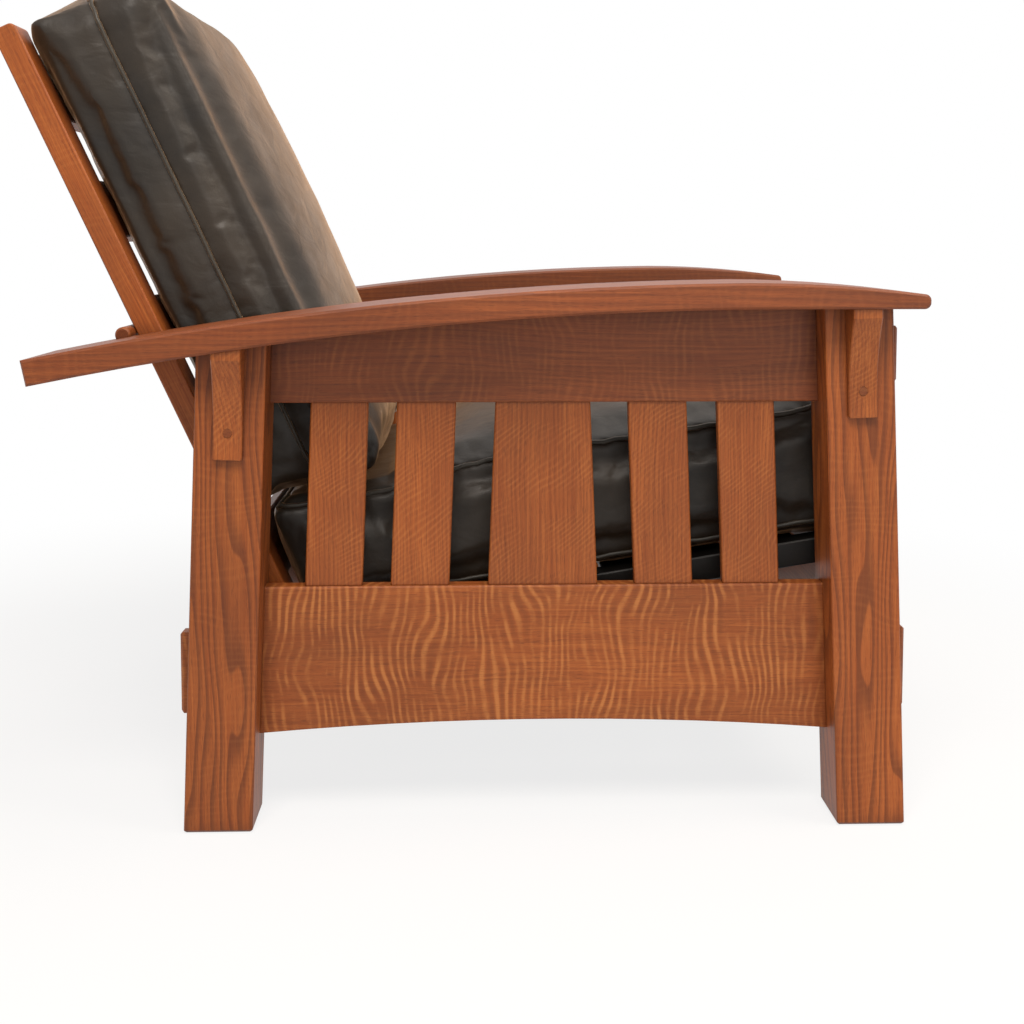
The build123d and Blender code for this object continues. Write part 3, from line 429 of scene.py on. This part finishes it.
def fill(piece, start):
    """Blows the cover up as its filling does, and lets no point move farther than the filling pushes."""
    cloth = piece.modifiers.new("cover", "CLOTH")
    cloth.settings.use_pressure = True
    cloth.settings.uniform_pressure_force = FILLING_PRESSURE
    cloth.settings.effector_weights.gravity = 0
    cloth.point_cache.frame_start = 1
    cloth.point_cache.frame_end = FILLING_STEPS
    for step in range(1, FILLING_STEPS + 1):
        bpy.context.scene.frame_set(step)
    mesh = settled(piece)
    move = points_of(mesh) - start
    length = np.linalg.norm(move, axis=1, keepdims=True)
    set_points(mesh, start + move * np.minimum(1, FILLING_PUSH * MM / np.maximum(length, 1e-9)))
    bpy.context.scene.frame_set(1)


def stuffed(name, node, rest_way, rest_level):
    """A stuffed cushion, from a slightly smaller copy of its solid, whose resting side stays flat on what
    carries it."""
    piece = bpy.data.objects.new(name, NODES[node].data.copy())
    piece.data.materials.clear()
    bpy.context.scene.collection.objects.link(piece)
    remesh = piece.modifiers.new("even", "REMESH")
    remesh.mode = "VOXEL"
    remesh.voxel_size = COVER_GRID * MM
    mesh = settled(piece)
    start = points_of(mesh) - normals_of(mesh) * (SLACK * MM)
    set_points(mesh, start)
    fill(piece, start)
    points = points_of(piece.data)
    under = rest_level - points @ np.array(rest_way)
    points += np.outer(np.maximum(under, 0), rest_way)
    set_points(piece.data, points)
    return piece


def seam_path(piece, outside):
    """The points of a seam: the nearest places on the cushion to a loop that runs round it."""
    tree = BVHTree.FromObject(piece, bpy.context.evaluated_depsgraph_get())
    found = []
    for point in outside:
        place, normal, _, _ = tree.find_nearest(point)
        if not found or (place - found[-1][0]).length > SEAM_CLOSEST * MM:
            found.append((place, normal))
    return found


def nearest_on(points, line):
    """For each point, its squared distance to a line of points, and how far along the line it is."""
    least, index = np.full(len(points), 1e9), np.zeros(len(points), dtype=int)
    for i, spot in enumerate(line):
        gap = ((points - spot) ** 2).sum(axis=1)
        closer = gap < least
        least[closer], index[closer] = gap[closer], i
    steps = np.linalg.norm(np.diff(line, axis=0), axis=1)
    return least, np.concatenate([[0], np.cumsum(steps)])[index]


def stitch_in(piece, path, deep, wide, pucker):
    """Draws the cover in along a seam, with small uneven puckers where the stitches pull."""
    mesh = piece.data
    points, normals = points_of(mesh), normals_of(mesh)
    least, along = nearest_on(points, np.array([place for place, _ in path]))
    stitch, uneven, coming = 6.2 * MM, 41 * MM, 93 * MM
    swing = np.sin(along / stitch + 2.2 * np.sin(along / uneven)) * np.sin(along / coming + 1)
    shift = -deep * np.exp(-least / wide ** 2) + pucker * swing * np.exp(-least / (2.6 * wide) ** 2)
    set_points(mesh, points + normals * shift[:, None])


def crease(piece, ends, deep, wide):
    """One pulled fold in the cover: a valley with a soft ridge on each side, dying out at its ends."""
    mesh = piece.data
    points, normals = points_of(mesh), normals_of(mesh)
    shares = np.linspace(0, 1, 25)
    start, bend, stop = [np.array(end) for end in ends]
    line = np.array([(1 - k) ** 2 * start + 2 * k * (1 - k) * bend + k * k * stop for k in shares])
    least, along = nearest_on(points, line)
    total = np.linalg.norm(np.diff(line, axis=0), axis=1).sum()
    fade = np.sin(np.pi * np.clip(along / total, 0, 1)) ** 0.7
    gap = np.sqrt(least)
    shape = 0.7 * np.exp(-((gap - 1.7 * wide) / wide) ** 2) - np.exp(-(gap / wide) ** 2)
    set_points(mesh, points + normals * (deep * fade * shape)[:, None])


def piping(path, radius, sink):
    """A leather-covered cord sewn into the seam, as the mesh of a closed tube."""
    curve = bpy.data.curves.new("piping", "CURVE")
    curve.dimensions = "3D"
    curve.bevel_depth = radius
    curve.bevel_resolution = 3
    curve.resolution_u = 2
    spline = curve.splines.new("BEZIER")
    spline.bezier_points.add(len(path) - 1)
    for point, (place, normal) in zip(spline.bezier_points, path):
        point.co = place - normal * sink
        point.handle_left_type = point.handle_right_type = "VECTOR"
    spline.use_cyclic_u = True
    piece = bpy.data.objects.new("piping", curve)
    bpy.context.scene.collection.objects.link(piece)
    depsgraph = bpy.context.evaluated_depsgraph_get()
    mesh = bpy.data.meshes.new_from_object(piece.evaluated_get(depsgraph))
    bpy.data.objects.remove(piece)
    return mesh


def rounded_loop(half_x, low, high):
    """Points round a rectangle with rounded corners, a seam's step apart, to stand outside of a cushion."""
    spots = []
    right, top, bottom = half_x - SEAM_CORNER, high - SEAM_CORNER, low + SEAM_CORNER
    for x, y, start in ((right, top, 0), (-right, top, 90), (-right, bottom, 180), (right, bottom, 270)):
        for turn in range(0, 91, 15):
            angle = math.radians(start + turn)
            spots.append((x + SEAM_CORNER * math.cos(angle), y + SEAM_CORNER * math.sin(angle)))
    loop = []
    for i, (x, y) in enumerate(spots):
        nx, ny = spots[(i + 1) % len(spots)]
        count = max(1, round(math.hypot(nx - x, ny - y) / SEAM_STEP))
        loop += [(x + (nx - x) * k / count, y + (ny - y) * k / count) for k in range(count)]
    return loop


def wrinkle(piece):
    """Soft unevenness of the filling under the cover."""
    mesh = piece.data
    points, normals = points_of(mesh), normals_of(mesh)
    heights = np.array([noise.noise(Vector(spot)) for spot in points / (np.array(WRINKLE_SIZES) * MM)])
    set_points(mesh, points + normals * (heights * (WRINKLE_HEIGHT * MM))[:, None])


def reshape(piece, origin, out, up, change):
    """Changes a cushion's form in its own directions, in mm: across, out and up."""
    away = points_of(piece.data) - np.array(origin)
    local = np.stack([away[:, 0], away @ np.array(out), away @ np.array(up)], axis=1) / MM
    change(local)
    local *= MM
    points = np.array(origin) + np.outer(local[:, 1], out) + np.outer(local[:, 2], up)
    points[:, 0] = local[:, 0]
    set_points(piece.data, points)


def eased(share):
    """A share from 0 to 1 that starts and stops gently."""
    share = np.clip(share, 0, 1)
    return share * share * (3 - 2 * share)


def dress(piece, body, node, cords):
    """Smooth leather over the finished form, with its piping, on its body and in place of its solid."""
    round_off = piece.modifiers.new("smooth", "SUBSURF")
    round_off.levels = round_off.render_levels = 1
    mesh = settled(piece)
    mesh.materials.clear()
    mesh.materials.append(LEATHER)
    mesh.materials.append(PIPING)
    whole = bmesh.new()
    whole.from_mesh(mesh)
    for cord in cords:
        count = len(whole.faces)
        whole.from_mesh(cord)
        whole.faces.ensure_lookup_table()
        for face in whole.faces[count:]:
            face.material_index = 1
    for face in whole.faces:
        face.smooth = True
    whole.to_mesh(mesh)
    whole.free()
    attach(piece, body)
    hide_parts(node)


def seat_spot(x, forward, above):
    """A place in the seat's own directions, in mm: across, forward along the slope and above the frame."""
    return SEAT_BASE + Vector((x * MM, 0, 0)) + SEAT_OUT * (forward * MM) + SEAT_UP * (above * MM)


def back_spot(x, out, up):
    """A place in the back's own directions, in mm from the pivot: across, out of its front and up it."""
    return PIVOT + Vector((x * MM, 0, 0)) + BACK_OUT * (out * MM) + BACK_UP * (up * MM)


def press_seat(local):
    """Keeps the seat's rear top flat under the back cushion, and swells its crown in front of it."""
    across, forward, above = local[:, 0], local[:, 1], local[:, 2]
    free = eased((forward - PRESSED_UPTO) / PRESSED_FADE)
    middle = np.clip(1 - (across / SEAT_CROWN_HALF) ** 2, 0, 1)
    middle *= np.clip((SEAT_CROWN_END - forward) / SEAT_CROWN_FADE, 0, 1)
    above += SEAT_SWELL * free * middle * np.clip((above - SEAT_TOP_FROM) / SEAT_TOP_FADE, 0, 1)
    ceiling = PRESSED_HEIGHT + PRESSED_RISE * np.maximum(forward - PRESSED_UPTO - 1, 0)
    local[:, 2] = np.minimum(above, ceiling)


def seat_creases(piece):
    """The folds that the back cushion's weight leaves in the seat's rear corners and across its rear. Each
    has its start, bend and end: forward and above on a side face, or across on the top."""
    folds = (
        ((-118, 146), (-96, 110), (-104, 52)), ((-92, 143), (-66, 118), (-60, 70)),
        ((-134, 96), (-112, 70), (-116, 28)), ((-70, 60), (-88, 40), (-126, 34)),
        ((-40, 140), (-22, 120), (-14, 84)),
    )
    for side in (-1, 1):
        for fold in folds:
            ends = [seat_spot(side * SEAT_SIDE, forward, above) for forward, above in fold]
            crease(piece, ends, deep=2.6 * MM, wide=6.5 * MM)
    for x, bend in ((-190, -160), (-70, -90), (60, 40), (170, 190)):
        ends = [seat_spot(x, -6, 152), seat_spot(bend, 40, 166), seat_spot(bend + 8, 96, 172)]
        crease(piece, ends, deep=1.5 * MM, wide=9 * MM)


def make_seat_cushion():
    """The boxed seat cushion, with piping along its top and bottom edges."""
    level = SEAT_BASE.dot(SEAT_UP) + SEAT_LIFT * MM
    piece = stuffed("seat_cushion_leather", "seat_cushion", tuple(SEAT_UP), level)
    reshape(piece, SEAT_BASE, SEAT_OUT, SEAT_UP, press_seat)
    loop = rounded_loop(**SEAT_LOOP)
    over = [seat_spot(x, f, TOP_SEAM_HEIGHT if f > 0 else PRESSED_SEAM_HEIGHT) for x, f in loop]
    under = [seat_spot(x, f, 0) for x, f in loop]
    edges = [seam_path(piece, outside) for outside in (over, under)]
    for edge in edges:
        stitch_in(piece, edge, deep=3.2 * MM, wide=8 * MM, pucker=0.7 * MM)
    seat_creases(piece)
    wrinkle(piece)
    dress(piece, "frame", "seat_cushion", [piping(edge, 3.0 * MM, 2.0 * MM) for edge in edges])


def round_rear(local):
    """Rounds the back cushion's rear edges, where its filling is pulled to the middle seam."""
    radius_x, radius_out = REAR_ROUND
    centre_x, centre_out = BACK_HALF - radius_x, BACK_REAR + radius_out
    for side in (-1, 1):
        dx = (local[:, 0] * side - centre_x) / radius_x
        dy = (centre_out - local[:, 1]) / radius_out
        corner = (dx > 0) & (dy > 0)
        reach = np.where(corner, np.maximum(np.hypot(dx, dy), 1), 1)
        local[:, 0] = np.where(corner, side * (centre_x + dx / reach * radius_x), local[:, 0])
        local[:, 1] = np.where(corner, centre_out - dy / reach * radius_out, local[:, 1])


def let_down_foot(local):
    """Lets the back cushion's foot down on the seat, and lets it sag a little behind the seat."""
    out = local[:, 1]
    foot = BACK_FOOT - out * math.tan(FOOT_FALL)
    drop = np.maximum(out * (math.tan(REST_FALL) - math.tan(FOOT_FALL)) - 1, 0)
    local[:, 2] -= drop * eased(1 - (local[:, 2] - foot) / FOOT_REACH)
    seat = BACK_FOOT + 1 - out * math.tan(REST_FALL)
    local[:, 2] = np.maximum(local[:, 2], seat)
    behind = np.clip((SAG_UPTO - out) / SAG_FADE, 0, 1)
    local[:, 2] -= FOOT_SAG * behind * np.clip(1 - (local[:, 2] - foot) / SAG_REACH, 0, 1)


def settle_back(local):
    """Gives the back cushion its rounded rear and the foot that rests on the seat."""
    round_rear(local)
    let_down_foot(local)


def fill_front(local):
    """Fills out the back cushion's front: a crown behind a soft lip along each side edge, and a fuller lap
    where it bends on the seat."""
    across, up = np.abs(local[:, 0]), local[:, 2]
    front = eased((local[:, 1] - FRONT_FROM) / FRONT_FADE)
    rise = np.clip((up - CROWN_FROM) / CROWN_RISE, 0, 1)
    ends = eased(rise * np.clip((BACK_TOP - up) / CROWN_FALL, 0, 1))
    inside = np.clip(1 - across / BACK_CROWN_HALF, 0, 1)
    crown = BACK_FILL + BACK_CROWN * np.sin(inside * np.pi / 2) ** 1.3
    dip = LIP_DIP * np.exp(-((across - LIP_PLACE) / LIP_WIDTH) ** 2)
    lap = BACK_LAP * np.exp(-((up - LAP_PLACE) / LAP_WIDTH) ** 2)
    local[:, 1] += front * ends * (crown + lap - dip)


def back_creases(piece):
    """Folds at the back cushion's lower corners and across its lap, where it bends on the seat. Each has its
    start, bend and end: out and up on a side face, or across on the front."""
    folds = (
        ((34, 90), (60, 74), (92, 62)), ((40, 140), (66, 112), (90, 104)), ((112, 60), (136, 52), (156, 34)),
        ((108, 120), (134, 98), (158, 88)),
    )
    for side in (-1, 1):
        for fold in folds:
            ends = [back_spot(side * BACK_SIDE, out, up) for out, up in fold]
            crease(piece, ends, deep=2.2 * MM, wide=7 * MM)
    for start, stop in ((-150, -20), (40, 190)):
        ends = [back_spot(start, 176, 44), back_spot((start + stop) / 2, 180, 30), back_spot(stop, 177, 50)]
        crease(piece, ends, deep=1.8 * MM, wide=9 * MM)


def make_back_cushion():
    """The loose back cushion, with piping along the seam round its middle."""
    level = PIVOT.dot(BACK_OUT) + BACK_REAR * MM
    piece = stuffed("back_cushion_leather", "back_cushion", tuple(BACK_OUT), level)
    for change in (settle_back, fill_front):
        reshape(piece, PIVOT, BACK_OUT, BACK_UP, change)
    seam = seam_path(piece, [back_spot(x, BACK_MIDDLE, up) for x, up in rounded_loop(**BACK_LOOP)])
    stitch_in(piece, seam, deep=3.4 * MM, wide=9 * MM, pucker=0.8 * MM)
    back_creases(piece)
    wrinkle(piece)
    dress(piece, "back", "back_cushion", [piping(seam, 2.5 * MM, 0.3 * MM)])
    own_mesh(piece)


def seen_directly(tree):
    """One where a ray comes from the camera, a mirror or a clear piece, and nothing where it only lights."""
    put = partial(add, tree)
    rays = put("LightPath").node.outputs
    seen = put("Math", {0: rays["Is Camera Ray"], 1: rays["Is Glossy Ray"]}, operation="MAXIMUM")
    return put("Math", {0: seen, 1: rays["Is Transmission Ray"]}, operation="MAXIMUM")


def make_floor():
    """A pale matt floor that fades into the white surroundings and keeps the chair's shadow."""
    half, fade_from, fade_upto = 14, 0.7, 1.7
    mesh = bpy.data.meshes.new("floor")
    corners = [(-half, -half, 0), (half, -half, 0), (half, half, 0), (-half, half, 0)]
    mesh.from_pydata(corners, [], [(0, 1, 2, 3)])
    floor = bpy.data.objects.new("floor", mesh)
    bpy.context.scene.collection.objects.link(floor)
    floor.location.z = -0.5 * MM
    material, tree = empty_material("pale studio floor")
    put = partial(add, tree)
    away = put("VectorMath", {0: put("TexCoord", out="Object")}, "Value", operation="LENGTH")
    fading = put("MapRange", {
        "Value": away, "From Min": fade_from, "From Max": fade_upto, "To Min": 0.8, "To Max": 1.0,
    }, interpolation_type="SMOOTHSTEP")
    share = put("Math", {0: fading, 1: seen_directly(tree)}, operation="MULTIPLY")
    matt, white = put("BsdfDiffuse", {"Color": srgb("#F2F2F2")}), put("Emission")
    put("OutputMaterial", {"Surface": put("MixShader", {0: share, 1: matt, 2: white})})
    mesh.materials.append(material)


def make_surroundings():
    """Even studio light, with plain white where it is seen directly or mirrored."""
    world = bpy.data.worlds.new("studio")
    bpy.context.scene.world = world
    world.use_nodes = True
    tree = world.node_tree
    tree.nodes.clear()
    glow = add(tree, "Background", {"Color": srgb("#FFFAF4"), "Strength": 0.22})
    white = add(tree, "Background", {"Color": (1, 1, 1, 1)})
    add(tree, "OutputWorld", {"Surface": add(tree, "MixShader", {0: seen_directly(tree), 1: glow, 2: white})})


def softbox(name, place, aim, size, power, tint):
    """A large soft lamp: its place, what it is aimed at and its size in metres, and its power in watts."""
    lamp = bpy.data.lights.new(name, "AREA")
    lamp.shape = "RECTANGLE"
    lamp.size, lamp.size_y = size
    lamp.energy = power
    lamp.color = srgb(tint)[:3]
    stand = bpy.data.objects.new(name, lamp)
    bpy.context.scene.collection.objects.link(stand)
    stand.location = place
    stand.rotation_mode = "QUATERNION"
    stand.rotation_quaternion = (Vector(aim) - Vector(place)).to_track_quat("-Z", "Y")


def make_camera():
    """The photograph's own view: square to the side, a little above the arm."""
    lens = bpy.data.cameras.new("camera")
    lens.lens = 49.10
    lens.sensor_width = 36
    lens.shift_x = 0.0006
    lens.shift_y = -0.169
    lens.clip_start, lens.clip_end = 0.05, 60
    camera = bpy.data.objects.new("camera", lens)
    bpy.context.scene.collection.objects.link(camera)
    yaw, dip = math.radians(1.688), math.radians(4.227)
    look = Vector((math.cos(yaw) * math.cos(dip), -math.sin(yaw) * math.cos(dip), -math.sin(dip)))
    camera.location = (-1.9177, -0.020955, 0.6669)
    camera.rotation_mode = "QUATERNION"
    camera.rotation_quaternion = look.to_track_quat("-Z", "Y")
    bpy.context.scene.camera = camera


finish_wood()
make_seat_cushion()
make_back_cushion()
make_floor()
make_surroundings()
softbox("key", (-2.1, 0.1, 2.9), (0, 0, 0.45), (1.5, 1.2), 84, "#FFF6EC")
softbox("front", (-0.8, -1.9, 2.9), (0, 0.1, 0.5), (1.4, 1.4), 36, "#FFF3E4")
softbox("fill", (-2.8, -0.9, 1.0), (0, 0, 0.35), (1.8, 1.4), 10, "#FFF6EC")
softbox("top", (0.6, -0.4, 3.4), (0, 0, 0.5), (2.4, 2.4), 22, "#FFFAF2")
make_camera()
bpy.context.scene.view_settings.view_transform = "Standard"
